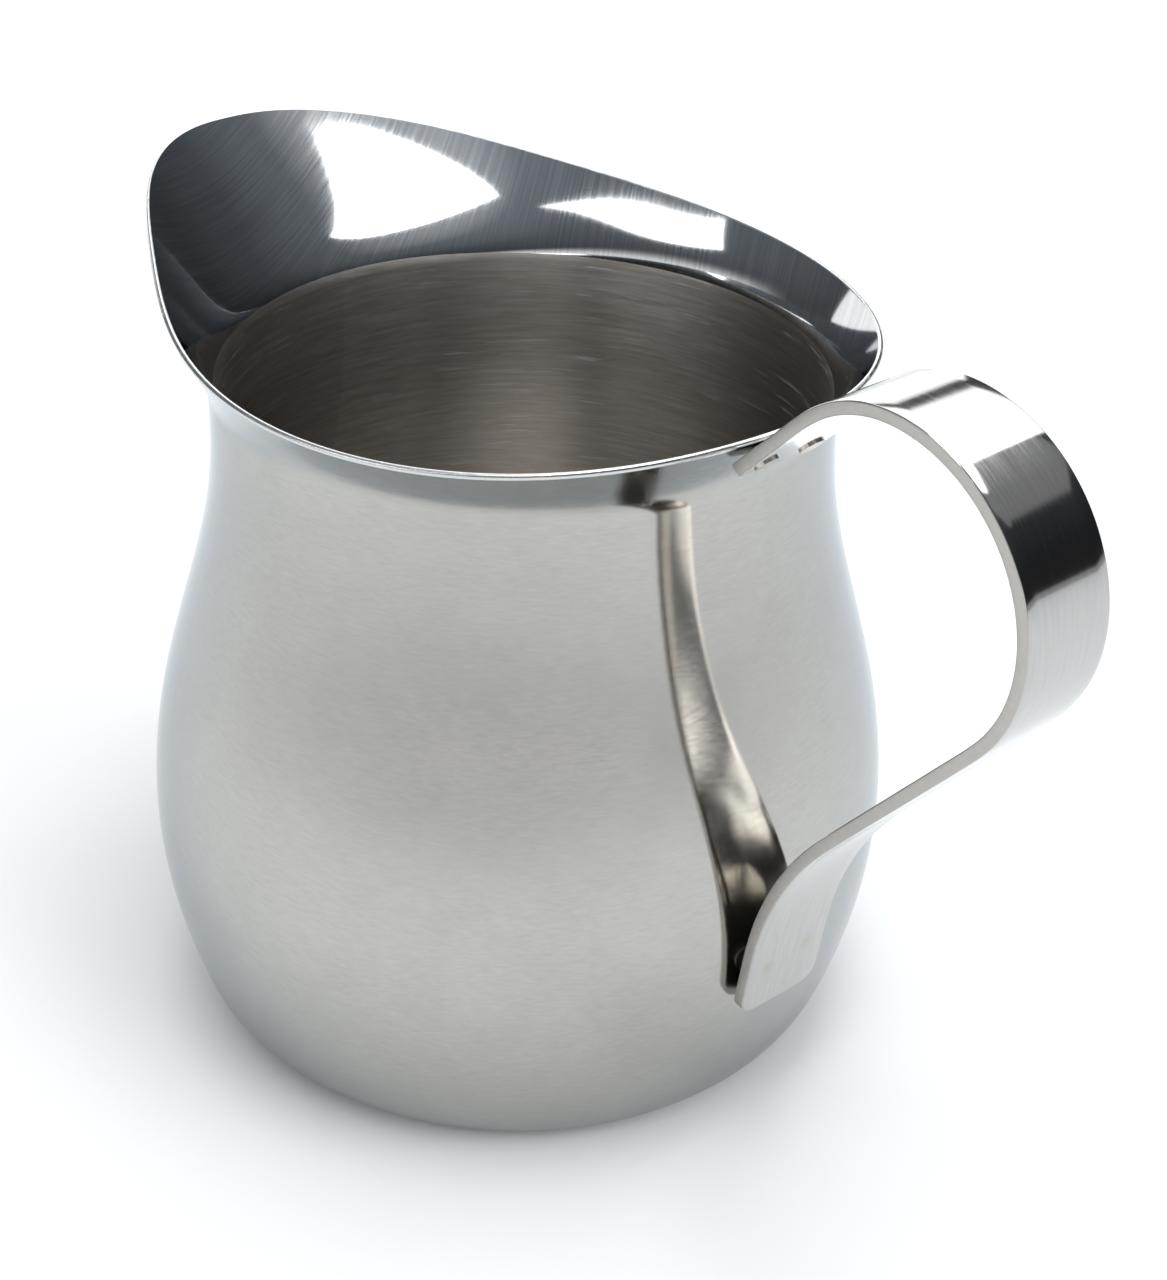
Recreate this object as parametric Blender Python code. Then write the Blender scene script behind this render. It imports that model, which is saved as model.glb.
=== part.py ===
"""Bell creamer: a drawn sheet-steel jug with a bent strip handle that is spot welded on.

Metres, +Z up.  The jug stands on z = 0 with its axis on the Z axis, the handle towards +X and the
pouring lip towards -X.  The whole object is symmetric about the XZ plane.
"""
import math

import bmesh
import bpy
import numpy as np

MM = 0.001

# Bowl: a body of revolution up to the top of the neck
SHEET = 0.5 * MM                 # wall thickness of the drawn sheet
BASE_RADIUS = 18.5 * MM          # flat disc the jug stands on
HEEL_RADIUS = 28.0 * MM          # where the heel has turned up into the belly wall
HEEL_HEIGHT = 3.0 * MM
BELLY_RADIUS = 31.0 * MM
BELLY_HEIGHT = 18.8 * MM
NECK_RADIUS = 24.7 * MM
NECK_HEIGHT = 53.0 * MM          # the wall is upright here

# Flare: from a bend at the top of the neck out to the lip
BEND_HEIGHT = 57.6 * MM          # where neck and flare would meet if the bend were sharp
BEND_START = 1.5 * MM            # the bend begins this far below
LIP_RADIUS_HANDLE = 28.3 * MM    # over the handle
LIP_RADIUS_SIDE = 27.0 * MM      # level the other two rise from
LIP_RADIUS_SPOUT = 41.3 * MM
LIP_HEIGHT_HANDLE = 61.9 * MM
LIP_HEIGHT_SIDE = 58.6 * MM
LIP_HEIGHT_SPOUT = 65.7 * MM
SPOUT_HALF_ANGLE = 16.5          # degrees, how far round the pulled-out spout reaches
SPOUT_RISE_ANGLE = 48.4          # degrees, how far round the lip climbs to the spout
HANDLE_LIP_ANGLE = 34.3          # degrees, width of the small bulge of the lip over the handle

# Handle: one flat strip, bent in the XZ plane
STRIP_WIDTH = 8.2 * MM
STRIP_THICK = 1.0 * MM
STRIP_CHAMFER = 0.1 * MM
FOOT_GAP = 0.35 * MM             # gap between the lower end of the strip and the belly
FOOT_END = 14.2 * MM             # height of the lower end of the strip
FOOT_CORNER = 1.4 * MM           # rounded corners of the foot
FOOT_LEAN = 8.0                  # degrees from upright; the foot rests on its lower end
FOOT_STRAIGHT = 5.8 * MM
FOOT_BEND = 29.0 * MM            # bend radii along the strip, from the foot upwards
RAMP_ANGLE = 40.1                # degrees from upright
RAMP_LENGTH = 18.5 * MM
LOWER_BEND = 11.9 * MM
UPPER_BEND = 12.8 * MM
CREST_BEND = 10.4 * MM
TAIL_ANGLE = 46.0                # degrees below level, parallel to the flare it lies under
TAIL_LENGTH = 8.5 * MM

# Spot welds
WELD_RADIUS = 1.0 * MM
WELD_CLEAR = 0.25 * MM
WELD_POCKET = 0.45 * MM          # depth of the recess each weld takes up in the strip
FOOT_WELD_IN = 3.6 * MM          # distance of each pair of welds from its end of the strip
TAIL_WELD_IN = 1.45 * MM
WELD_SIDE = 2.2 * MM             # each pair straddles the middle of the strip

AROUND = 72


def clear_scene():
    for ob in list(bpy.data.objects):
        bpy.data.objects.remove(ob, do_unlink=True)


def metal(name, colour, roughness):
    mat = bpy.data.materials.new(name)
    mat.use_nodes = True
    bsdf = mat.node_tree.nodes["Principled BSDF"]
    bsdf.inputs["Base Color"].default_value = (*colour, 1.0)
    bsdf.inputs["Metallic"].default_value = 1.0
    bsdf.inputs["Roughness"].default_value = roughness
    mat.diffuse_color = (*colour, 1.0)
    return mat


def add_object(name, bm, mat, angle=35.0):
    bmesh.ops.recalc_face_normals(bm, faces=bm.faces)
    mesh = bpy.data.meshes.new(name)
    bm.to_mesh(mesh)
    bm.free()
    mesh.materials.append(mat)
    mesh.polygons.foreach_set("use_smooth", [True] * len(mesh.polygons))
    mesh.set_sharp_from_angle(angle=math.radians(angle))
    ob = bpy.data.objects.new(name, mesh)
    bpy.context.scene.collection.objects.link(ob)
    return ob


def bump(angle_deg, width_deg):
    """Smooth bump of height 1 at angle 0, falling off over about width_deg."""
    eased = math.hypot(angle_deg, 6.0) - 6.0
    return math.exp(-0.5 * (eased / width_deg) ** 1.5)


def lip(theta):
    """Radius and height of the lip at azimuth theta (0 = over the handle, pi = spout)."""
    from_handle = math.degrees(abs(math.atan2(math.sin(theta), math.cos(theta))))
    from_spout = 180.0 - from_handle
    radius = LIP_RADIUS_SIDE
    radius += (LIP_RADIUS_SPOUT - LIP_RADIUS_SIDE) * bump(from_spout, SPOUT_HALF_ANGLE)
    radius += (LIP_RADIUS_HANDLE - LIP_RADIUS_SIDE) * bump(from_handle, HANDLE_LIP_ANGLE)
    height = LIP_HEIGHT_SIDE
    height += (LIP_HEIGHT_SPOUT - LIP_HEIGHT_SIDE) * bump(from_spout, SPOUT_RISE_ANGLE)
    height += (LIP_HEIGHT_HANDLE - LIP_HEIGHT_SIDE) * bump(from_handle, HANDLE_LIP_ANGLE)
    return radius, height


def bezier(p0, p1, p2, p3, t):
    s = 1.0 - t
    return s ** 3 * p0 + 3 * s * s * t * p1 + 3 * s * t * t * p2 + t ** 3 * p3


def wall_curve(theta, rows_heel=6, rows_belly=6, rows_neck=6, rows_flare=8):
    """Outer (r, z) curve of the wall at azimuth theta, from the base disc up to the lip."""
    heel0 = np.array([BASE_RADIUS, 0.0])
    heel1 = np.array([HEEL_RADIUS, HEEL_HEIGHT])
    belly = np.array([BELLY_RADIUS, BELLY_HEIGHT])
    neck = np.array([NECK_RADIUS, NECK_HEIGHT])
    lean = np.array([0.33, 0.944])
    rise = NECK_HEIGHT - BELLY_HEIGHT
    r_lip, z_lip = lip(theta)
    end = np.array([r_lip, z_lip])
    corner = np.array([NECK_RADIUS, BEND_HEIGHT])
    start = corner - np.array([0.0, BEND_START])
    legs = (
        (heel0, heel0 + np.array([7.5 * MM, 0.0]), heel1 - lean * 2.2 * MM, heel1, rows_heel),
        (heel1, heel1 + lean * 5.0 * MM, belly - np.array([0.0, 6.0 * MM]), belly, rows_belly),
        (belly, belly + np.array([0.0, 0.40 * rise]), neck - np.array([0.0, 0.36 * rise]), neck,
         rows_neck),
        (start, start + 0.7 * (corner - start), end + 0.85 * (corner - end), end, rows_flare),
    )
    points = [heel0]
    for p0, p1, p2, p3, rows in legs[:3]:
        for k in range(1, rows + 1):
            points.append(bezier(p0, p1, p2, p3, k / rows))
    p0, p1, p2, p3, rows = legs[3]
    for k in range(rows + 1):
        points.append(bezier(p0, p1, p2, p3, k / rows))
    return np.array(points)


def offset_inwards(curve, distance):
    """Curve moved to the left of its own direction, that is towards the inside of the bowl."""
    step = np.gradient(curve, axis=0)
    step[0] = (1.0, 0.0)
    step /= np.linalg.norm(step, axis=1)[:, None]
    left = np.stack([-step[:, 1], step[:, 0]], axis=1)
    return curve + distance * left


def make_body(mat):
    bm = bmesh.new()
    rings = []
    for i in range(AROUND):
        theta = 2.0 * math.pi * i / AROUND
        outer = wall_curve(theta)
        inner = offset_inwards(outer, SHEET)
        section = np.vstack([outer, inner[::-1]])
        c, s = math.cos(theta), math.sin(theta)
        rings.append([bm.verts.new((r * c, r * s, z)) for r, z in section])
    rows = len(rings[0])
    for i in range(AROUND):
        a, b = rings[i], rings[(i + 1) % AROUND]
        for j in range(rows - 1):
            bm.faces.new((a[j], b[j], b[j + 1], a[j + 1]))
    for row in (0, rows - 1):
        bm.faces.new([ring[row] for ring in rings])
    return add_object("jug_body", bm, mat)


def strip_path():
    """Centre line of the strip as points (x, z) and headings, from the foot up to the tail."""
    wall = wall_curve(0.0)
    x = np.interp(FOOT_END, wall[:, 1], wall[:, 0]) + FOOT_GAP + 0.5 * STRIP_THICK
    z = FOOT_END
    heading = 90.0 - FOOT_LEAN
    points = [(x, z, heading)]
    legs = (
        ("line", FOOT_STRAIGHT, 0.0, 5),
        ("arc", FOOT_BEND, FOOT_LEAN - RAMP_ANGLE, 7),
        ("line", RAMP_LENGTH, 0.0, 2),
        ("arc", LOWER_BEND, RAMP_ANGLE, 7),
        ("arc", UPPER_BEND, 90.0, 14),
        ("arc", CREST_BEND, TAIL_ANGLE, 8),
        ("line", TAIL_LENGTH, 0.0, 4),
    )
    for kind, size, turn, count in legs:
        for _ in range(count):
            if kind == "line":
                step = size / count
                x += step * math.cos(math.radians(heading))
                z += step * math.sin(math.radians(heading))
            else:
                half = 0.5 * turn / count
                chord = 2.0 * size * math.sin(math.radians(abs(half)))
                x += chord * math.cos(math.radians(heading + half))
                z += chord * math.sin(math.radians(heading + half))
                heading += 2.0 * half
            points.append((x, z, heading))
    return points


def strip_stations():
    """Stations along the strip with the half width at each; the foot has rounded corners."""
    path = strip_path()
    half = 0.5 * STRIP_WIDTH
    stations = []
    x, z, heading = path[0]
    for k in range(5):
        angle = 0.5 * math.pi * k / 5
        up = FOOT_CORNER * (1.0 - math.cos(angle))
        width = half - FOOT_CORNER * (1.0 - math.sin(angle))
        stations.append((x, z + up, heading, width))
    for px, pz, ph in path:
        if pz - z > FOOT_CORNER or px - x > FOOT_CORNER:
            stations.append((px, pz, ph, half))
    return stations


def make_handle(mat):
    bm = bmesh.new()
    t = 0.5 * STRIP_THICK
    c = STRIP_CHAMFER
    sections = []
    for x, z, heading, half in strip_stations():
        nx = -math.sin(math.radians(heading))
        nz = math.cos(math.radians(heading))
        outline = ((-half, -t + c), (-half + c, -t), (half - c, -t), (half, -t + c),
                   (half, t - c), (half - c, t), (-half + c, t), (-half, t - c))
        sections.append([bm.verts.new((x + n * nx, y, z + n * nz)) for y, n in outline])
    for a, b in zip(sections, sections[1:]):
        for j in range(8):
            k = (j + 1) % 8
            bm.faces.new((a[j], a[k], b[k], b[j]))
    bm.faces.new(sections[0])
    bm.faces.new(list(reversed(sections[-1])))
    return add_object("handle", bm, mat, 30.0)


def disc(name, centre, axis, radius, near, far, mat, count=20):
    """Short cylinder along axis through centre, from distance near to distance far."""
    axis = np.array(axis, dtype=float)
    axis /= np.linalg.norm(axis)
    side = np.array([0.0, 1.0, 0.0])
    other = np.cross(axis, side)
    bm = bmesh.new()
    caps = []
    for reach in (near, far):
        cap = []
        for k in range(count):
            a = 2.0 * math.pi * k / count
            p = np.array(centre) + reach * axis
            p = p + radius * (math.cos(a) * side + math.sin(a) * other)
            cap.append(bm.verts.new(p))
        caps.append(cap)
    for k in range(count):
        m = (k + 1) % count
        bm.faces.new((caps[0][k], caps[0][m], caps[1][m], caps[1][k]))
    bm.faces.new(caps[0])
    bm.faces.new(list(reversed(caps[1])))
    return add_object(name, bm, mat)


def cut(target, cutter):
    mod = target.modifiers.new("cut", "BOOLEAN")
    mod.operation = "DIFFERENCE"
    mod.solver = "EXACT"
    mod.object = cutter
    cutter.hide_render = True
    cutter.display_type = "WIRE"


def weld_seats():
    """(name, point on the strip face that meets the bowl, direction into the strip) of each weld."""
    path = strip_path()
    ends = (("foot_weld_", path[0], 1.0, FOOT_WELD_IN), ("tail_weld_", path[-1], -1.0, TAIL_WELD_IN))
    seats = []
    for label, (x, z, heading), forward, inset in ends:
        c = math.cos(math.radians(heading))
        s = math.sin(math.radians(heading))
        px = x + forward * inset * c - 0.5 * STRIP_THICK * s
        pz = z + forward * inset * s + 0.5 * STRIP_THICK * c
        for side, sign in (("near", -1.0), ("far", 1.0)):
            seats.append((label + side, (px, sign * WELD_SIDE, pz), (s, 0.0, -c)))
    return seats


def main():
    clear_scene()
    bowl_metal = metal("bowl steel", (0.62, 0.62, 0.63), 0.12)
    strip_metal = metal("strip steel", (0.60, 0.60, 0.60), 0.18)
    make_body(bowl_metal)
    handle = make_handle(strip_metal)
    for name, point, into in weld_seats():
        weld_metal = metal(name + " metal", (0.42, 0.36, 0.30), 0.4)
        disc(name, point, into, WELD_RADIUS, -0.1 * MM, WELD_POCKET - WELD_CLEAR, weld_metal)
        cutter = disc(name + "_seat", point, into, WELD_RADIUS + WELD_CLEAR, -1.0 * MM, WELD_POCKET,
                      weld_metal)
        cut(handle, cutter)


main()
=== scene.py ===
"""Looks of the bell creamer: finely shaped steel skins, polished and satin metal, and the studio round it.

Metres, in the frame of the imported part: the jug stands on z = 0 on the Z axis, handle towards +X.
"""

import math

import bmesh
import bpy
import numpy as np
from mathutils import Matrix, Vector


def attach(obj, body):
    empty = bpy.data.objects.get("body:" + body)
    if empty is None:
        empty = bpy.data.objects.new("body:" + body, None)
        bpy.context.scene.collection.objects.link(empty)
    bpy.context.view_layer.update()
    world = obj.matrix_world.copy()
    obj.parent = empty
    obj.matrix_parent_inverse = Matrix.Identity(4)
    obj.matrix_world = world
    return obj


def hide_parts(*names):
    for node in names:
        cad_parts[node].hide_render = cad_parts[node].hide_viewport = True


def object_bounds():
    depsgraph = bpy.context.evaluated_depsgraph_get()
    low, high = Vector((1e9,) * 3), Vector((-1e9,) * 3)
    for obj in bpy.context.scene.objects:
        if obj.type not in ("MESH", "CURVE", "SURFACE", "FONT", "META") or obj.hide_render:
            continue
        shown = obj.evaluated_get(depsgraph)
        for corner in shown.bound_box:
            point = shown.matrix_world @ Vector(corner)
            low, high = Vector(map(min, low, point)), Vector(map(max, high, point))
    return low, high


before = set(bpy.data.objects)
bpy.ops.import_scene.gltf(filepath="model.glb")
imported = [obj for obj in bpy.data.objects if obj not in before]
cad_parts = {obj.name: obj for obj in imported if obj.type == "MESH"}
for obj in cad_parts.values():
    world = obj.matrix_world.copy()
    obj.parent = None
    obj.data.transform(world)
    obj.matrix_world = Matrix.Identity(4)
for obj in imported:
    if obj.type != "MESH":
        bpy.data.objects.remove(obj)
CAD_BOX = [list(corner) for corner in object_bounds()]
MM = 0.001

# Bowl
SHEET = 0.5 * MM
BASE_RADIUS = 18.5 * MM
BASE_PULL = 7.5 * MM             # pulls: how far the curves' control points reach
HEEL_RADIUS = 28.0 * MM
HEEL_HEIGHT = 3.0 * MM
HEEL_LEAN = (0.33, 0.944)        # direction of the wall, out and up, at the heel's end
HEEL_PULL_IN = 2.2 * MM
HEEL_PULL_OUT = 5.0 * MM
BELLY_RADIUS = 31.0 * MM
BELLY_HEIGHT = 18.8 * MM
BELLY_PULL_IN = 6.0 * MM
BELLY_PULL_SHARE = 0.40          # shares of the rise from belly to neck
NECK_PULL_SHARE = 0.36
NECK_RADIUS = 24.7 * MM
NECK_HEIGHT = 53.0 * MM
BEND_HEIGHT = 57.6 * MM
BEND_START = 1.5 * MM
BEND_PULL_SHARE = 0.70           # shares of the way to the flare's corner
LIP_PULL_SHARE = 0.85
LIP_RADIUS_HANDLE = 28.3 * MM
LIP_RADIUS_SIDE = 27.0 * MM
LIP_RADIUS_SPOUT = 41.3 * MM
LIP_HEIGHT_HANDLE = 61.9 * MM
LIP_HEIGHT_SIDE = 58.6 * MM
LIP_HEIGHT_SPOUT = 65.7 * MM
SPOUT_HALF_ANGLE = 16.5
SPOUT_RISE_ANGLE = 48.4
HANDLE_LIP_ANGLE = 34.3
SWELL_LEVEL_ANGLE = 6.0          # how far round each swelling of the lip stays nearly level
SWELL_FALL = 1.5

# Handle strip
STRIP_WIDTH = 8.2 * MM
STRIP_THICK = 1.0 * MM
EDGE_ROUND = 0.13 * MM
FOOT_GAP = 0.35 * MM
FOOT_END = 14.2 * MM
FOOT_CORNER = 1.4 * MM
FOOT_LEAN = 8.0
FOOT_STRAIGHT = 5.8 * MM
FOOT_BEND = 29.0 * MM
RAMP_ANGLE = 40.1
RAMP_LENGTH = 18.5 * MM
LOWER_BEND = 11.9 * MM
UPPER_BEND = 12.8 * MM
CREST_BEND = 10.4 * MM
TAIL_ANGLE = 46.0
TAIL_LENGTH = 8.5 * MM
TAIL_CORNER = 0.4 * MM

# Camera
CAMERA_AT = (127.83 * MM, -107.94 * MM, 133.09 * MM)
CAMERA_AIM = (0.58 * MM, 6.55 * MM, 29.65 * MM)
CAMERA_ROLL = 1.77
CAMERA_LENS = 71.73

# Studio; places are azimuth and elevation in degrees, seen from the jug's mouth
MOUTH = (0.0, 0.0, 65.0 * MM)
FLOOR_WHITE = (0.84, 0.86, 0.872)
# Painted shade: ahead of the jug the table's colour turns to the grey below, standing in for the light
# falling off away from the lamps
FLOOR_PAINTED_SHADE = (0.66, 0.67, 0.67)
FLOOR_AHEAD = (0.259, -0.966)    # direction in which the table turns grey
FLOOR_FADE = (0.04, 0.45)        # metres ahead where the grey starts and where it is full
FLOOR_REACH = 1.1
# Name, place, spread in degrees, strength
TABLE_LIGHTS = (
    ("table light", (72.0, 60.0), 140.0, 2.05),
    ("table light, right", (22.0, 27.0), 44.0, 1.30),
)
# Corners of the cloth panels in metres across and up, each with the bow of the side that leaves it
OVERHEAD_CORNERS = ((-0.30, -0.11, -0.092), (0.36, -0.07, -0.09), (-0.49, 0.12, 0.0))
FRONT_LEFT_CORNERS = ((0.46, 0.10, 0.175), (-0.30, 0.28, 0.0), (-0.44, 0.26, -0.285))
# Name, place, distance, the direction that its long side points towards, corners, radiance
PANELS = (
    ("overhead", (8.0, 84.6), 0.85, (-61.0, 0.0), OVERHEAD_CORNERS, 6.6),
    ("front left", (-88.0, 35.0), 1.0, (-61.0, 47.0), FRONT_LEFT_CORNERS, 4.6),
)
# The same with a size in place of the corners
SOFTBOXES = (
    ("white card", (154.5, 8.0), 1.2, (64.5, 0.0), (1.25, 0.69), 1.4),
)
# Cards that light only the bowl's outside and the strip, or only the bowl's outside
OUTSIDE_SOFTBOXES = (
    ("behind", (121.0, 42.5), 1.0, (31.0, 0.0), (1.02, 0.46), 2.2),
    ("behind right", (80.0, 50.5), 1.0, (-10.0, 0.0), (0.58, 0.16), 3.6),
    ("crest card", (134.0, 5.0), 1.2, (44.0, 0.0), (0.30, 0.60), 1.2),
    ("right, dim", (64.0, 38.0), 1.0, (-26.0, 0.0), (0.52, 0.30), 0.25),
)
BOWL_SOFTBOXES = (
    ("behind right, low", (80.0, 37.0), 1.0, (-10.0, 0.0), (0.45, 0.30), 5.0),
)
# Room: height of a direction and colour there, and how much brighter its bright side is
ROOM = (
    (0.00, (1.0, 1.0, 1.0)),
    (0.002, (0.056, 0.058, 0.061)),
    (0.25, (0.060, 0.064, 0.070)),
    (0.60, (0.115, 0.129, 0.144)),
    (0.86, (0.225, 0.250, 0.275)),
    (0.95, (0.50, 0.53, 0.56)),
    (1.00, (0.55, 0.58, 0.60)),
)
ROOM_BRIGHT_SIDE = -125.0
ROOM_CONTRAST = 0.62
# White sweep: its middle's azimuth, and how it fades out sideways and upwards
SWEEP_MIDDLE = -65.0
SWEEP_SIDES = (0.02, 0.62)
SWEEP_TOP = (0.12, 0.34)
SWEEP_WHITE = (1.06, 1.06, 1.05)

# Painted reflection and shade on the outside, as brightness by height from the table up to the height set
# next: it stands in for the table and room mirrored in the steel, and is darker near the heel
PAINTED_REFLECTION_HEIGHT = 65.0 * MM
PAINTED_REFLECTION_LEVELS = ((0.0, 0.90), (0.10, 0.86), (0.22, 0.93), (0.36, 1.0), (0.50, 0.96), (0.66, 0.88), (0.80, 0.92),
          (0.90, 1.0), (1.0, 1.0))
# Painted highlights and shade on the satin inside, as soft upright bands fixed round the turn: place as a
# share of the turn from the spout, and brightness
PAINTED_INSIDE_HIGHLIGHTS = ((0.0, 1.0), (0.10, 0.50), (0.66, 0.34), (0.735, 0.48), (0.79, 0.82), (0.832, 0.88),
                (0.850, 0.58), (0.870, 0.90), (0.905, 0.93), (0.936, 0.70), (0.957, 0.98), (1.0, 1.0))

# Marks on the strip, in millimetres
HEAT_TINTS = ((32.7, 2.0, 18.9), (32.6, -2.0, 18.3))
CREST_SCUFFS = ((37.4, -2.5, 69.2), (35.1, 1.3, 68.1))

# Fineness
AROUND = 432                     # columns of the bowl
LEG_ROWS = (40, 60, 80)          # points of the heel's, lower wall's and upper wall's curves
BOWL_ROWS = 220
BOWL_RELAXING = 50
FLARE_ROWS = 48
SATIN_ROWS = 8                   # rows of the bend that the satin turning reaches up to
LIP_EDGE_STEP = 15               # degrees
STATION = 0.25 * MM              # spacing of the sections along the strip
STRIP_RELAXING = 30
STRIP_FACE_SPLITS = 8
OUTLINE_STEPS = 10               # points on each side of a cloth panel
BOWL_SHARP_ANGLE = 60.0
STRIP_SHARP_ANGLE = 40.0


def make_camera():
    data = bpy.data.cameras.new("camera")
    data.sensor_fit = "HORIZONTAL"
    data.sensor_width = 36.0
    data.lens = CAMERA_LENS
    data.clip_start = 0.01
    camera = bpy.data.objects.new("camera", data)
    bpy.context.scene.collection.objects.link(camera)
    look = Vector(CAMERA_AIM) - Vector(CAMERA_AT)
    turn = look.to_track_quat("-Z", "Y").to_matrix().to_4x4()
    roll = Matrix.Rotation(math.radians(CAMERA_ROLL), 4, "Z")
    camera.matrix_world = Matrix.Translation(CAMERA_AT) @ turn @ roll
    bpy.context.scene.camera = camera


# ---------------------------------------------------------------- shapes


def add_mesh(name, verts, faces, materials, face_material, sharp_angle):
    """Smooth-shaded object; face_material gives each face's place in materials."""
    mesh = bpy.data.meshes.new(name)
    mesh.from_pydata([tuple(v) for v in verts], [], faces)
    for mat in materials:
        mesh.materials.append(mat)
    mesh.polygons.foreach_set("material_index", face_material)
    mesh.polygons.foreach_set("use_smooth", [True] * len(mesh.polygons))
    mesh.update()
    bm = bmesh.new()
    bm.from_mesh(mesh)
    bmesh.ops.recalc_face_normals(bm, faces=bm.faces)
    bm.to_mesh(mesh)
    bm.free()
    mesh.set_sharp_from_angle(angle=math.radians(sharp_angle))
    ob = bpy.data.objects.new(name, mesh)
    bpy.context.scene.collection.objects.link(ob)
    return ob


def swell(angle_deg, width_deg):
    """Smooth swelling of height 1 at angle 0, falling off over about width_deg."""
    eased = math.hypot(angle_deg, SWELL_LEVEL_ANGLE) - SWELL_LEVEL_ANGLE
    return math.exp(-0.5 * (eased / width_deg) ** SWELL_FALL)


def lip(theta):
    """Radius and height of the lip at azimuth theta (0 = over the handle, pi = spout)."""
    from_handle = math.degrees(abs(math.atan2(math.sin(theta), math.cos(theta))))
    from_spout = 180.0 - from_handle
    at_spout = swell(from_spout, SPOUT_HALF_ANGLE)
    rise_to_spout = swell(from_spout, SPOUT_RISE_ANGLE)
    at_handle = swell(from_handle, HANDLE_LIP_ANGLE)
    radius = LIP_RADIUS_SIDE
    radius += (LIP_RADIUS_SPOUT - LIP_RADIUS_SIDE) * at_spout
    radius += (LIP_RADIUS_HANDLE - LIP_RADIUS_SIDE) * at_handle
    height = LIP_HEIGHT_SIDE
    height += (LIP_HEIGHT_SPOUT - LIP_HEIGHT_SIDE) * rise_to_spout
    height += (LIP_HEIGHT_HANDLE - LIP_HEIGHT_SIDE) * at_handle
    return radius, height


def bezier(p0, p1, p2, p3, t):
    t = np.asarray(t)[:, None]
    s = 1.0 - t
    return s ** 3 * p0 + 3 * s * s * t * p1 + 3 * s * t * t * p2 + t ** 3 * p3


def relax(points, times):
    """Evens out the curvature of a curve whose ends stay put."""
    points = points.copy()
    for _ in range(times):
        points[1:-1] = 0.25 * points[:-2] + 0.5 * points[1:-1] + 0.25 * points[2:]
    return points


def bowl_curve():
    """Outer (r, z) curve from the edge of the base disc up to where the flare's bend starts."""
    base = np.array([BASE_RADIUS, 0.0])
    heel = np.array([HEEL_RADIUS, HEEL_HEIGHT])
    belly = np.array([BELLY_RADIUS, BELLY_HEIGHT])
    neck = np.array([NECK_RADIUS, NECK_HEIGHT])
    out = np.array([1.0, 0.0])
    up = np.array([0.0, 1.0])
    lean = np.array(HEEL_LEAN)
    rise = NECK_HEIGHT - BELLY_HEIGHT
    legs = (
        (base, base + BASE_PULL * out, heel - HEEL_PULL_IN * lean, heel),
        (heel, heel + HEEL_PULL_OUT * lean, belly - BELLY_PULL_IN * up, belly),
        (belly, belly + BELLY_PULL_SHARE * rise * up, neck - NECK_PULL_SHARE * rise * up, neck),
    )
    curve = [base[None]]
    for leg, count in zip(legs, LEG_ROWS):
        curve.append(bezier(*leg, np.arange(1, count + 1) / count))
    curve = np.vstack(curve)
    length = np.concatenate([[0.0], np.cumsum(np.linalg.norm(np.diff(curve, axis=0), axis=1))])
    even = np.linspace(0.0, length[-1], BOWL_ROWS)
    curve = np.stack([np.interp(even, length, curve[:, k]) for k in (0, 1)], axis=1)
    return relax(curve, BOWL_RELAXING)


def flare_curve(theta):
    """Outer (r, z) curve from the start of the bend out to the lip at azimuth theta."""
    end = np.array(lip(theta))
    corner = np.array([NECK_RADIUS, BEND_HEIGHT])
    start = corner - np.array([0.0, BEND_START])
    return bezier(start, start + BEND_PULL_SHARE * (corner - start), end + LIP_PULL_SHARE * (corner - end),
                  end, np.linspace(0.0, 1.0, FLARE_ROWS))


def inward_normals(curve):
    """Unit normals of an (r, z) curve, on the side of the bowl's inside."""
    step = np.gradient(curve, axis=0)
    step /= np.linalg.norm(step, axis=1)[:, None]
    return np.stack([-step[:, 1], step[:, 0]], axis=1)


def bowl_section(theta, lower):
    """Section of the wall in (r, z): up the outside, over the rounded lip, and down the inside."""
    outer = np.vstack([lower, flare_curve(theta)])
    normals = inward_normals(outer)
    normals[0] = (0.0, 1.0)
    half = 0.5 * SHEET
    turn = np.radians(np.arange(LIP_EDGE_STEP, 180, LIP_EDGE_STEP))
    ahead = np.array([normals[-1][1], -normals[-1][0]])
    centre = outer[-1] + half * normals[-1] - half * ahead
    edge = [centre + half * (-math.cos(a) * normals[-1] + math.sin(a) * ahead) for a in turn]
    outer[-1] = centre - half * normals[-1]
    inner = outer + SHEET * normals
    return outer, np.array(edge), inner[::-1]


def make_skin(name, sections, cap_row, materials, kind_of_row):
    """Skin round the Z axis, one section per column, closed by a disc through row cap_row."""
    rows = len(sections[0])
    verts = []
    for i, section in enumerate(sections):
        theta = 2.0 * math.pi * i / AROUND
        verts += [(r * math.cos(theta), r * math.sin(theta), z) for r, z in section]
    faces = []
    kind = []
    for i in range(AROUND):
        a = i * rows
        b = ((i + 1) % AROUND) * rows
        for j in range(rows - 1):
            faces.append((a + j, b + j, b + j + 1, a + j + 1))
            kind.append(kind_of_row(j))
    faces.append([i * rows + cap_row for i in range(AROUND)])
    kind.append(kind_of_row(min(cap_row, rows - 2)))
    return add_mesh(name, verts, faces, materials, kind, BOWL_SHARP_ANGLE)


def make_bowl(outside, edge_metal, flare_inside, satin):
    """The bowl as two skins that meet at the lip: outside with the lip's edge, and inside."""
    lower = bowl_curve()
    outer_sections = []
    inner_sections = []
    for i in range(AROUND):
        outer, edge, inner = bowl_section(2.0 * math.pi * i / AROUND, lower)
        outer_sections.append(np.vstack([outer, edge, inner[:1]]))
        inner_sections.append(inner)
    lip_from = len(outer) - 1
    satin_from = FLARE_ROWS - SATIN_ROWS
    shell = make_skin("bowl_outside", outer_sections, 0, (outside, edge_metal),
                      lambda row: int(row >= lip_from))
    lining = make_skin("bowl_inside", inner_sections, len(inner) - 1, (flare_inside, satin),
                       lambda row: int(row >= satin_from))
    return shell, lining


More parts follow.
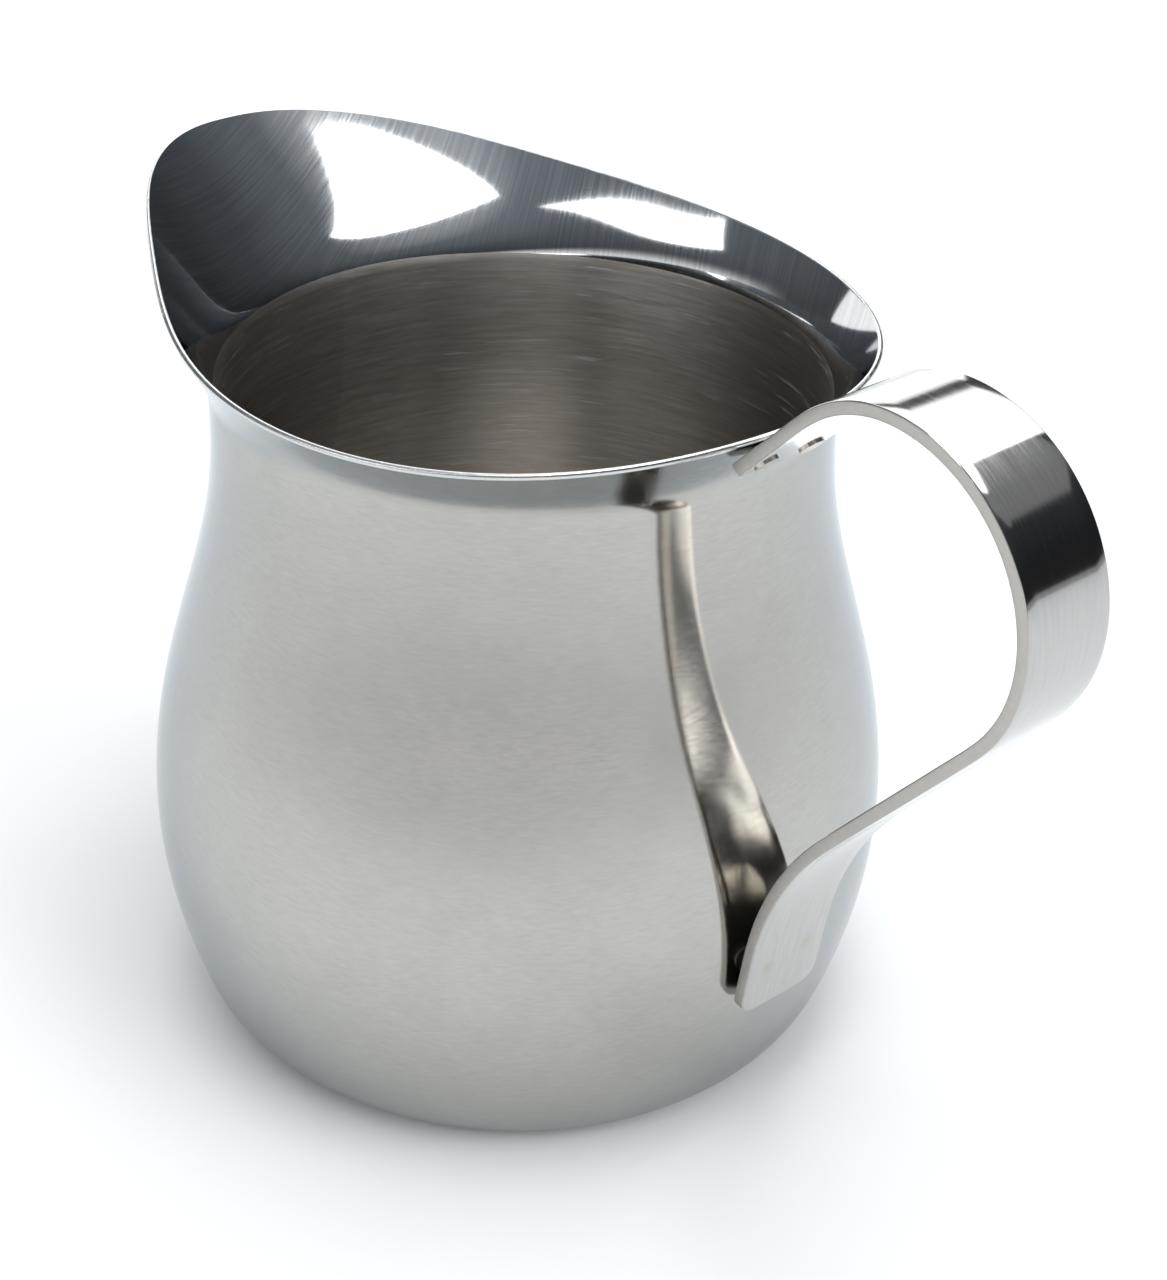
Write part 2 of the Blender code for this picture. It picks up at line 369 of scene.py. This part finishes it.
def strip_path():
    """Centre line of the strip from the foot to the tail: (x, z, heading) rows, and the way along."""
    lower = bowl_curve()
    x = np.interp(FOOT_END, lower[:, 1], lower[:, 0]) + FOOT_GAP + 0.5 * STRIP_THICK
    z = FOOT_END
    legs = (
        (FOOT_STRAIGHT, 0.0),
        (FOOT_BEND * math.radians(RAMP_ANGLE - FOOT_LEAN), FOOT_LEAN - RAMP_ANGLE),
        (RAMP_LENGTH, 0.0),
        (LOWER_BEND * math.radians(RAMP_ANGLE), RAMP_ANGLE),
        (UPPER_BEND * math.radians(90.0), 90.0),
        (CREST_BEND * math.radians(TAIL_ANGLE), TAIL_ANGLE),
        (TAIL_LENGTH, 0.0),
    )
    ends = np.concatenate([[0.0], np.cumsum([leg[0] for leg in legs])])
    turned = 90.0 - FOOT_LEAN + np.concatenate([[0.0], np.cumsum([leg[1] for leg in legs])])
    count = int(ends[-1] / STATION)
    along = np.linspace(0.0, ends[-1], count + 1)
    heading = relax(np.interp(along, ends, turned)[:, None], STRIP_RELAXING)[:, 0]
    middle = np.radians(0.5 * (heading[1:] + heading[:-1]))
    step = ends[-1] / count
    xs = x + np.concatenate([[0.0], np.cumsum(step * np.cos(middle))])
    zs = z + np.concatenate([[0.0], np.cumsum(step * np.sin(middle))])
    return np.stack([xs, zs, np.radians(heading)], axis=1), along


def strip_outline(half_width):
    """Section of the strip as (y, n) points, with rounded long edges and split faces."""
    half = 0.5 * STRIP_THICK
    r = EDGE_ROUND
    outline = []
    for cy, cn, first in ((half_width - r, -half + r, -90), (half_width - r, half - r, 0),
                          (-half_width + r, half - r, 90), (-half_width + r, -half + r, 180)):
        for k in range(5):
            a = math.radians(first + 22.5 * k)
            outline.append((cy + r * math.cos(a), cn + r * math.sin(a)))
    split = []
    for (y0, n0), (y1, n1) in zip(outline, outline[1:] + outline[:1]):
        parts = STRIP_FACE_SPLITS if abs(y1 - y0) > STRIP_THICK else 1
        split += [(y0 + (y1 - y0) * k / parts, n0 + (n1 - n0) * k / parts) for k in range(parts)]
    return split


def rounded_end(half_width, corner, from_end):
    """Half width of a strip this far from an end whose corners are rounded."""
    if from_end >= corner:
        return half_width
    return half_width - corner + math.sqrt(max(corner ** 2 - (corner - from_end) ** 2, 0.0))


def make_handle(face_metal, edge_metal, inner_metal):
    """The strip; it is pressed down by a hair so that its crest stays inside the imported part's box."""
    path, along = strip_path()
    rows = []
    for (x, z, heading), s in zip(path, along):
        half = rounded_end(0.5 * STRIP_WIDTH, FOOT_CORNER, s)
        half = rounded_end(half, TAIL_CORNER, along[-1] - s)
        nx, nz = -math.sin(heading), math.cos(heading)
        rows.append([(x + n * nx, y, z + n * nz) for y, n in strip_outline(half)])
    squeeze = min(1.0, CAD_BOX[1][2] / max(z for row in rows for _, _, z in row))
    verts = [(x, y, z * squeeze) for row in rows for x, y, z in row]
    outline = strip_outline(0.5 * STRIP_WIDTH)
    width = len(outline)
    faces = []
    kind = []
    for i in range(len(rows) - 1):
        for j in range(width):
            k = (j + 1) % width
            faces.append((i * width + j, i * width + k, (i + 1) * width + k, (i + 1) * width + j))
            level = 0.5 * (outline[j][1] + outline[k][1])
            on_face = abs(level) > 0.5 * STRIP_THICK - 0.3 * EDGE_ROUND
            kind.append((0 if level < 0.0 else 2) if on_face else 1)
    for first in (0, (len(rows) - 1) * width):
        faces.append([first + j for j in range(width)])
        kind.append(1)
    return add_mesh("handle_strip", verts, faces, (face_metal, edge_metal, inner_metal), kind,
                    STRIP_SHARP_ANGLE)


# ---------------------------------------------------------------- materials


class Nodes:
    """Small helper that adds nodes to a tree and links them.

    Where a value is asked for it can be another node's output, a number, or a colour of three numbers.
    """

    def __init__(self, tree):
        self.tree = tree

    def add(self, kind, **settings):
        node = self.tree.nodes.new(kind)
        for key, value in settings.items():
            setattr(node, key, value)
        return node

    def link(self, source, target):
        self.tree.links.new(source, target)

    def put(self, value, socket):
        if isinstance(value, bpy.types.NodeSocket):
            self.link(value, socket)
        elif isinstance(value, tuple):
            socket.default_value = (*value, 1.0)
        else:
            socket.default_value = value

    def maths(self, operation, a, b):
        node = self.add("ShaderNodeMath", operation=operation)
        self.put(a, node.inputs[0])
        self.put(b, node.inputs[1])
        return node.outputs[0]

    def coordinates(self, kind="Object"):
        """Coordinates of the shaded point, whole and as x, y and z."""
        coords = self.add("ShaderNodeTexCoord").outputs[kind]
        split = self.add("ShaderNodeSeparateXYZ")
        self.link(coords, split.inputs[0])
        return coords, split.outputs

    def vector(self, x, y, z):
        node = self.add("ShaderNodeCombineXYZ")
        for socket, value in zip(node.inputs, (x, y, z)):
            self.put(value, socket)
        return node.outputs[0]

    def noise(self, vector, scale, detail=3.0, roughness=0.5):
        node = self.add("ShaderNodeTexNoise")
        self.link(vector, node.inputs["Vector"])
        node.inputs["Scale"].default_value = scale
        node.inputs["Detail"].default_value = detail
        node.inputs["Roughness"].default_value = roughness
        return node.outputs["Fac"]

    def span(self, value, low, high, to_low, to_high, interpolation="LINEAR"):
        """Maps low to to_low and high to to_high, and stays level beyond them."""
        node = self.add("ShaderNodeMapRange", interpolation_type=interpolation)
        self.link(value, node.inputs["Value"])
        node.inputs["From Min"].default_value = low
        node.inputs["From Max"].default_value = high
        node.inputs["To Min"].default_value = to_low
        node.inputs["To Max"].default_value = to_high
        return node.outputs["Result"]

    def mix(self, factor, a, b, blend="MIX"):
        node = self.add("ShaderNodeMix", data_type="RGBA", blend_type=blend)
        self.put(factor, node.inputs["Factor"])
        self.put(a, node.inputs["A"])
        self.put(b, node.inputs["B"])
        return node.outputs["Result"]

    def ramp(self, value, stops, interpolation="LINEAR"):
        """Colours along value; stops are pairs of place and colour, from place 0 to place 1."""
        node = self.add("ShaderNodeValToRGB")
        node.color_ramp.interpolation = interpolation
        elements = node.color_ramp.elements
        for place, _ in stops[1:-1]:
            elements.new(place)
        for element, (_, colour) in zip(elements, stops):
            element.color = (*colour, 1.0)
        self.link(value, node.inputs[0])
        return node.outputs["Color"]

    def levels(self, value, stops):
        """Smooth grey levels along value; stops are pairs of place and level."""
        return self.ramp(value, [(place, (level, level, level)) for place, level in stops], "B_SPLINE")

    def bump(self, height, distance, strength):
        node = self.add("ShaderNodeBump")
        node.inputs["Strength"].default_value = strength
        node.inputs["Distance"].default_value = distance
        self.link(height, node.inputs["Height"])
        return node.outputs["Normal"]

    def toward(self, direction, azimuth):
        """How far a direction points to an azimuth, from -1 to 1."""
        node = self.add("ShaderNodeVectorMath", operation="DOT_PRODUCT")
        node.inputs[1].default_value = sky_direction(azimuth, 0.0)
        self.link(direction, node.inputs[0])
        return node.outputs["Value"]


class Surface(Nodes):
    """A new material with its nodes."""

    def __init__(self, name):
        self.material = bpy.data.materials.new(name)
        self.material.use_nodes = True
        super().__init__(self.material.node_tree)
        self.bsdf = self.tree.nodes["Principled BSDF"]

    def finish(self, colour, roughness, normal=None):
        self.link(colour, self.bsdf.inputs["Base Color"])
        self.link(roughness, self.bsdf.inputs["Roughness"])
        if normal is not None:
            self.link(normal, self.bsdf.inputs["Normal"])
        return self.material


def metal(name, grain=0.0, along=(0.0, 0.0, 1.0)):
    """Bare metal; grain draws its reflections out, by this much, in the direction along."""
    m = Surface(name)
    m.bsdf.inputs["Metallic"].default_value = 1.0
    if grain:
        m.bsdf.inputs["Anisotropic"].default_value = grain
        m.link(m.vector(*along), m.bsdf.inputs["Tangent"])
    return m


def round_coordinates(nodes, along_scale, height_scale):
    """Texture space for marks that run level round the bowl: long sideways, thin in height."""
    _, (x, y, z) = nodes.coordinates()
    return nodes.vector(nodes.maths("MULTIPLY", x, along_scale), nodes.maths("MULTIPLY", y, along_scale),
                        nodes.maths("MULTIPLY", z, height_scale))


def lines_along_strip(nodes, along_scale):
    """Fine lines that run along the strip."""
    _, (x, y, z) = nodes.coordinates()
    drawn_out = nodes.vector(nodes.maths("MULTIPLY", y, 5000.0), nodes.maths("MULTIPLY", x, along_scale),
                             nodes.maths("MULTIPLY", z, along_scale))
    return nodes.noise(drawn_out, 1.0, 4.0, 0.65)


def polished_outside():
    """Polished steel with fine lines round it and faint mottling; painted reflection and shade change its
    brightness with height.
    """
    m = metal("bowl polished outside", 0.9)
    m.bsdf.inputs["Specular Tint"].default_value = (0.82, 0.86, 0.90, 1.0)
    lines = m.noise(round_coordinates(m, 900.0, 4800.0), 1.0, 4.0, 0.75)
    broad = m.noise(round_coordinates(m, 30.0, 60.0), 1.0, 2.0)
    coords, (_, _, z) = m.coordinates()
    mottle = m.noise(coords, 220.0, 4.0, 0.65)
    tone = m.maths("ADD", m.span(lines, 0.30, 0.70, 0.0, 0.72), m.span(mottle, 0.30, 0.70, 0.0, 0.28))
    steel = m.mix(tone, (0.422, 0.412, 0.388), (0.516, 0.504, 0.477))
    # painted reflection and shade: brightness by height multiplies the steel's colour
    painted_reflection = m.levels(m.maths("DIVIDE", z, PAINTED_REFLECTION_HEIGHT), PAINTED_REFLECTION_LEVELS)
    rough = m.maths("ADD", m.span(lines, 0.3, 0.7, 0.10, 0.14), m.span(broad, 0.3, 0.7, 0.0, 0.02))
    return m.finish(m.mix(1.0, steel, painted_reflection, "MULTIPLY"), rough, m.bump(lines, 0.002 * MM, 0.6))


def polished_flare():
    """Mirror-like steel with fine buffing lines slanting across the flare."""
    m = metal("flare polished inside")
    _, (x, y, _) = m.coordinates()
    across = m.maths("ADD", m.maths("MULTIPLY", x, 4200.0), m.maths("MULTIPLY", y, 2250.0))
    along = m.maths("MULTIPLY", m.maths("SUBTRACT", y, x), 60.0)
    lines = m.noise(m.vector(across, along, 0.0), 1.0, 4.0, 0.65)
    steel = m.mix(m.span(lines, 0.34, 0.66, 0.0, 1.0), (0.45, 0.462, 0.475), (0.61, 0.617, 0.625))
    return m.finish(steel, m.span(lines, 0.3, 0.75, 0.06, 0.09))


def satin_inside():
    """Turned satin: fine rings, a few bright arc scratches and soft upright bands of painted highlight and
    shade.
    """
    m = metal("bowl satin inside", 0.7)
    lines = m.noise(round_coordinates(m, 170.0, 2800.0), 1.0, 5.0, 0.75)
    arcs = m.span(m.noise(round_coordinates(m, 110.0, 2100.0), 1.0, 3.0, 0.75), 0.60, 0.70, 0.0, 0.9)
    _, (x, y, _) = m.coordinates()
    turn = m.maths("ADD", m.maths("DIVIDE", m.maths("ARCTAN2", y, x), 2.0 * math.pi), 0.5)
    steel = m.mix(m.span(lines, 0.34, 0.66, 0.0, 1.0), (0.72, 0.672, 0.612), (0.98, 0.935, 0.875))
    # painted highlights and shade: upright bands fixed round the turn multiply the steel's colour
    steel_with_painted_highlights = m.mix(1.0, steel, m.levels(turn, PAINTED_INSIDE_HIGHLIGHTS), "MULTIPLY")
    scratched = m.mix(arcs, steel_with_painted_highlights, (1.0, 1.0, 1.0))
    return m.finish(scratched, m.span(lines, 0.3, 0.7, 0.42, 0.50), m.bump(lines, 0.006 * MM, 0.8))


def lip_edge():
    m = metal("lip edge")
    marks = m.noise(m.coordinates()[0], 900.0, 2.0)
    return m.finish(m.mix(marks, (0.62, 0.62, 0.62), (0.70, 0.70, 0.69)), m.span(marks, 0.3, 0.7, 0.18, 0.30))


def spot(nodes, at, radius):
    """Soft irregular spot, 1 at its middle; at and radius in millimetres."""
    coords, _ = nodes.coordinates()
    distance = nodes.add("ShaderNodeVectorMath", operation="DISTANCE")
    nodes.link(coords, distance.inputs[0])
    distance.inputs[1].default_value = [MM * value for value in at]
    ragged = nodes.maths("MULTIPLY", nodes.noise(coords, 2500.0), 0.8 * radius * MM)
    reach = nodes.maths("ADD", distance.outputs["Value"], ragged)
    return nodes.span(reach, 0.5 * radius * MM, 1.4 * radius * MM, 1.0, 0.0)


def strip_face():
    """Polished strip: lines along it, a faint heat tint over the foot's welds, two scuffs on the crest."""
    m = metal("strip polished face", 0.7, along=(0.0, 1.0, 0.0))
    lines = lines_along_strip(m, 260.0)
    colour = m.mix(m.span(lines, 0.32, 0.68, 0.0, 1.0), (0.460, 0.454, 0.448), (0.530, 0.522, 0.510))
    for places, radius, tone, strength in ((HEAT_TINTS, 0.9, (0.45, 0.41, 0.34), 0.7),
                                           (CREST_SCUFFS, 0.35, (0.22, 0.23, 0.25), 0.9)):
        for at in places:
            colour = m.mix(m.maths("MULTIPLY", spot(m, at, radius), strength), colour, tone)
    return m.finish(colour, m.span(lines, 0.3, 0.7, 0.08, 0.12), m.bump(lines, 0.0004 * MM, 0.5))


def strip_inner_face():
    m = metal("strip satin inner face", 0.6, along=(0.0, 1.0, 0.0))
    lines = lines_along_strip(m, 200.0)
    steel = m.mix(lines, (0.80, 0.765, 0.715), (1.0, 0.97, 0.925))
    return m.finish(steel, m.span(lines, 0.3, 0.7, 0.07, 0.11))


def strip_edge():
    m = metal("strip cut edge")
    marks = m.noise(m.coordinates()[0], 1500.0, 4.0, 0.6)
    steel = m.mix(marks, (0.40, 0.38, 0.36), (0.56, 0.54, 0.51))
    return m.finish(steel, m.span(marks, 0.3, 0.7, 0.32, 0.45), m.bump(marks, 0.01 * MM, 0.6))


def weld_metal():
    m = metal("weld nugget")
    tint = m.noise(m.coordinates()[0], 700.0, 3.0)
    return m.finish(m.mix(tint, (0.54, 0.50, 0.45), (0.68, 0.65, 0.60)), m.span(tint, 0.3, 0.7, 0.26, 0.38))


# ---------------------------------------------------------------- studio


def make_floor():
    """White table top with painted shade: it darkens towards the camera's side, outside the picture, standing
    in for the light falling off away from the lamps.
    """
    m = Surface("white table")
    m.bsdf.inputs["Roughness"].default_value = 0.8
    m.bsdf.inputs["Specular IOR Level"].default_value = 0.1
    _, (x, y, _) = m.coordinates()
    ahead = m.maths("ADD", m.maths("MULTIPLY", x, FLOOR_AHEAD[0]), m.maths("MULTIPLY", y, FLOOR_AHEAD[1]))
    # painted shade: the table's white greys ahead of the jug
    shade = m.span(ahead, *FLOOR_FADE, 0.0, 1.0)
    m.link(m.mix(shade, FLOOR_WHITE, FLOOR_PAINTED_SHADE), m.bsdf.inputs["Base Color"])
    mesh = bpy.data.meshes.new("table_top")
    r = FLOOR_REACH
    mesh.from_pydata([(-r, -r, 0), (r, -r, 0), (r, r, 0), (-r, r, 0)], [], [(0, 1, 2, 3)])
    mesh.materials.append(m.material)
    floor = bpy.data.objects.new("table_top", mesh)
    bpy.context.scene.collection.objects.link(floor)


def sky_direction(azimuth_deg, elevation_deg):
    az, el = math.radians(azimuth_deg), math.radians(elevation_deg)
    return Vector((math.cos(el) * math.cos(az), math.cos(el) * math.sin(az), math.sin(el)))


def facing_mouth(place, distance, corner):
    """Placement of a flat thing that faces the mouth, its long side pointing towards corner."""
    back = sky_direction(*place)
    side = sky_direction(*corner)
    side = (side - side.dot(back) * back).normalized()
    turn = Matrix((side, back.cross(side), back)).transposed().to_4x4()
    return Matrix.Translation(Vector(MOUTH) + distance * back) @ turn


def bowed_outline(corners):
    """Closed outline whose sides are shallow curves from corner to corner."""
    outline = []
    for (x, y, bow), (x2, y2, _) in zip(corners, corners[1:] + corners[:1]):
        length = math.hypot(x2 - x, y2 - y)
        for i in range(OUTLINE_STEPS):
            t = i / OUTLINE_STEPS
            out = 4.0 * bow * t * (1.0 - t) / length
            outline.append((x + t * (x2 - x) - out * (y2 - y), y + t * (y2 - y) + out * (x2 - x), 0.0))
    return outline


def panel(name, place, distance, corner, corners, radiance):
    """Evenly lit cloth panel, mirrored by the flare and unseen by the camera."""
    m = Surface(name + " cloth")
    m.bsdf.inputs["Base Color"].default_value = (0.0, 0.0, 0.0, 1.0)
    m.bsdf.inputs["Specular IOR Level"].default_value = 0.0
    m.bsdf.inputs["Emission Color"].default_value = (1.0, 1.0, 1.0, 1.0)
    m.bsdf.inputs["Emission Strength"].default_value = radiance
    mesh = bpy.data.meshes.new(name)
    outline = bowed_outline(corners)
    mesh.from_pydata(outline, [], [range(len(outline))])
    mesh.materials.append(m.material)
    cloth = bpy.data.objects.new(name, mesh)
    bpy.context.scene.collection.objects.link(cloth)
    cloth.matrix_world = facing_mouth(place, distance, corner)
    cloth.visible_camera = False


def softbox(name, place, distance, corner, size, radiance, only=None):
    """Rectangular light that faces the mouth; only limits it to some pieces."""
    data = bpy.data.lights.new(name, "AREA")
    data.shape = "RECTANGLE"
    data.size, data.size_y = size
    data.energy = radiance * math.pi * size[0] * size[1]
    light = bpy.data.objects.new(name, data)
    bpy.context.scene.collection.objects.link(light)
    light.matrix_world = facing_mouth(place, distance, corner)
    if only is not None:
        receivers = bpy.data.collections.new(name + " lights")
        for piece in only:
            receivers.objects.link(piece)
        light.light_linking.receiver_collection = receivers


def table_light(name, place, spread_deg, strength):
    """Soft light for the table alone; the metal doesn't mirror it."""
    data = bpy.data.lights.new(name, "SUN")
    data.energy = strength
    data.angle = math.radians(spread_deg)
    light = bpy.data.objects.new(name, data)
    bpy.context.scene.collection.objects.link(light)
    light.rotation_euler = sky_direction(*place).to_track_quat("Z", "Y").to_euler()
    light.visible_glossy = False


def make_world():
    """Dark room above the table's horizon, with a white sweep low down on the camera's side."""
    world = bpy.data.worlds.new("studio")
    world.use_nodes = True
    bpy.context.scene.world = world
    w = Nodes(world.node_tree)
    direction, (_, _, z) = w.coordinates("Generated")
    contrast = w.maths("MULTIPLY", w.toward(direction, ROOM_BRIGHT_SIDE), ROOM_CONTRAST)
    lit = w.add("ShaderNodeVectorMath", operation="SCALE")
    w.link(w.ramp(z, ROOM), lit.inputs[0])
    w.link(w.maths("ADD", contrast, 1.0), lit.inputs["Scale"])
    height = w.span(z, *SWEEP_TOP, 1.0, 0.0, "SMOOTHSTEP")
    width = w.span(w.toward(direction, SWEEP_MIDDLE), *SWEEP_SIDES, 0.0, 1.0, "SMOOTHSTEP")
    swept = w.mix(w.maths("MULTIPLY", height, width), lit.outputs["Vector"], SWEEP_WHITE)
    w.link(swept, world.node_tree.nodes["Background"].inputs["Color"])


make_camera()
weld = weld_metal()
shell, lining = make_bowl(polished_outside(), lip_edge(), polished_flare(), satin_inside())
handle = make_handle(strip_face(), strip_edge(), strip_inner_face())
for piece, node, slot in ((shell, "jug_body", "bowl_steel"), (lining, "jug_body", "bowl_steel"),
                          (handle, "handle", "strip_steel")):
    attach(piece, "root")
    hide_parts(node)
for name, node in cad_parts.items():
    if "weld" in name:
        node.data.materials.clear()
        node.data.materials.append(weld)
make_floor()
make_world()
for light in TABLE_LIGHTS:
    table_light(*light)
for cloth in PANELS:
    panel(*cloth)
for light in SOFTBOXES:
    softbox(*light)
for light in OUTSIDE_SOFTBOXES:
    softbox(*light, only=(handle, shell))
for light in BOWL_SOFTBOXES:
    softbox(*light, only=(shell,))
bpy.context.scene.view_settings.view_transform = "Standard"
